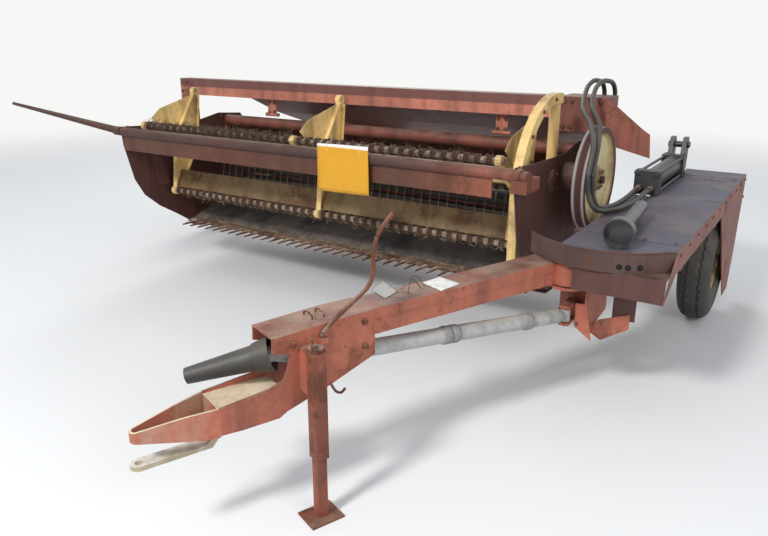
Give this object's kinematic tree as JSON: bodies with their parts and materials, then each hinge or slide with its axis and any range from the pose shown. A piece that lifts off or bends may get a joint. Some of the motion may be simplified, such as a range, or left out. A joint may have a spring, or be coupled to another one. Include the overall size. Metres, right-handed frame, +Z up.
{
  "type": "pull-type mower conditioner",
  "caption": "Towed hay mower conditioner with a raised cutter header, tined reel, conditioning rolls, side deck and a swinging tongue on a jack.",
  "frame": {"origin": "middle of the machine's outline on the ground, as it stands on its wheels and jack with the tongue swung in for towing", "axes": "+X to the machine's left, +Y to its rear, +Z up"},
  "size_m": [4.3536, 3.9686, 1.4175],
  "materials": {
    "steel": "weathered brick red paint, chalked and rusty",
    "maroon": "dark weathered red paint",
    "cream": "faded cream-yellow paint",
    "dusk": "faded dusty purple-grey paint",
    "grey": "chalky light grey",
    "hose": "matt black rubber",
    "black": "dusty black plastic",
    "black_paint": "worn black paint",
    "roll": "dusty black moulded rubber",
    "tyre": "weathered",
    "rust": "rusty worn steel"
  },
  "bodies": {
    "frame": {"main_beam": "steel", "left_shoulder": "steel", "shoulder_shield": "steel", "right_leg": "steel", "left_leg": "steel", "right_rail": "steel", "side_rail": "steel", "lower_beam": "steel", "axle_left": "steel", "axle_right": "steel", "tongue_clevis": "steel", "gearbox": "steel", "deck_top": "dusk", "deck_front_band": "steel", "deck_skirt": "steel", "deck_channels": "maroon", "shaft_guard": "grey", "rear_hood": "steel", "windrow_shield_left": "steel", "windrow_shield_right": "steel", "hose_left": "hose", "hose_right": "hose", "loose_cylinder": "black_paint", "cylinder_clevis": "black_paint"},
    "tongue": {"tongue_beam": "steel", "gooseneck": "steel", "hitch_trough": "steel", "hitch_strap": "rust", "jack_sleeve": "steel", "hose_holder": "rust", "pto_shaft": "black", "driveline": "grey"},
    "jack": {"jack_leg": "rust"},
    "header": {"right_end_sheet": "maroon", "left_end_sheet": "maroon", "floor_pan": "rust", "cutter_bar": "rust", "push_bar": "maroon", "divider": "maroon", "reel_arch": "cream", "roll_housing": "steel", "drive_housing": "maroon"},
    "knife": {"knife": "rust"},
    "reel": {"reel_axle": "cream", "reel_boards": "cream", "tine_bars": "rust"},
    "upper_roll": {"roll_upper": "roll"},
    "lower_roll": {"roll_lower": "roll"},
    "drive_pulley": {"pulley": "cream"},
    "left_wheel": {"tyre_left": "tyre", "rim_left": "cream"},
    "right_wheel": {"tyre_right": "tyre", "rim_right": "cream"}
  },
  "joints": [
    {"name": "tongue_swing", "type": "hinge", "parent": "frame", "child": "tongue", "pos_m": [1.7468, -0.23573, 0.63], "axis": [0, 0, 1], "range_deg": [0, 40]},
    {"name": "jack_slide", "type": "slide", "parent": "tongue", "child": "jack", "axis": [0, 0, 1], "range_m": [0, 0.23]},
    {"name": "header_lift", "type": "hinge", "parent": "frame", "child": "header", "pos_m": [0.0268, 1.28427, 0.51], "axis": [1, 0, 0], "range_deg": [0, 17]},
    {"name": "knife_slide", "type": "slide", "parent": "header", "child": "knife", "axis": [1, 0, 0], "range_m": [-0.038, 0.038]},
    {"name": "reel_spin", "type": "hinge", "parent": "header", "child": "reel", "pos_m": [0.0268, 0.35427, 0.92], "axis": [1, 0, 0], "continuous": true},
    {"name": "upper_roll_spin", "type": "hinge", "parent": "header", "child": "upper_roll", "pos_m": [0.0268, 0.96927, 0.732], "axis": [1, 0, 0], "continuous": true},
    {"name": "lower_roll_spin", "type": "hinge", "parent": "header", "child": "lower_roll", "pos_m": [0.0268, 0.93927, 0.46367], "axis": [1, 0, 0], "continuous": true},
    {"name": "pulley_spin", "type": "hinge", "parent": "header", "child": "drive_pulley", "pos_m": [1.5908, 0.54927, 0.92], "axis": [1, 0, 0], "continuous": true},
    {"name": "left_wheel_spin", "type": "hinge", "parent": "frame", "child": "left_wheel", "pos_m": [2.0718, 1.30427, 0.36], "axis": [1, 0, 0], "continuous": true},
    {"name": "right_wheel_spin", "type": "hinge", "parent": "frame", "child": "right_wheel", "pos_m": [-1.9032, 1.30427, 0.36], "axis": [1, 0, 0], "continuous": true}
  ],
  "couplings": [
    {"joint": "upper_roll_spin", "follows": "lower_roll_spin", "ratio": -1}
  ]
}
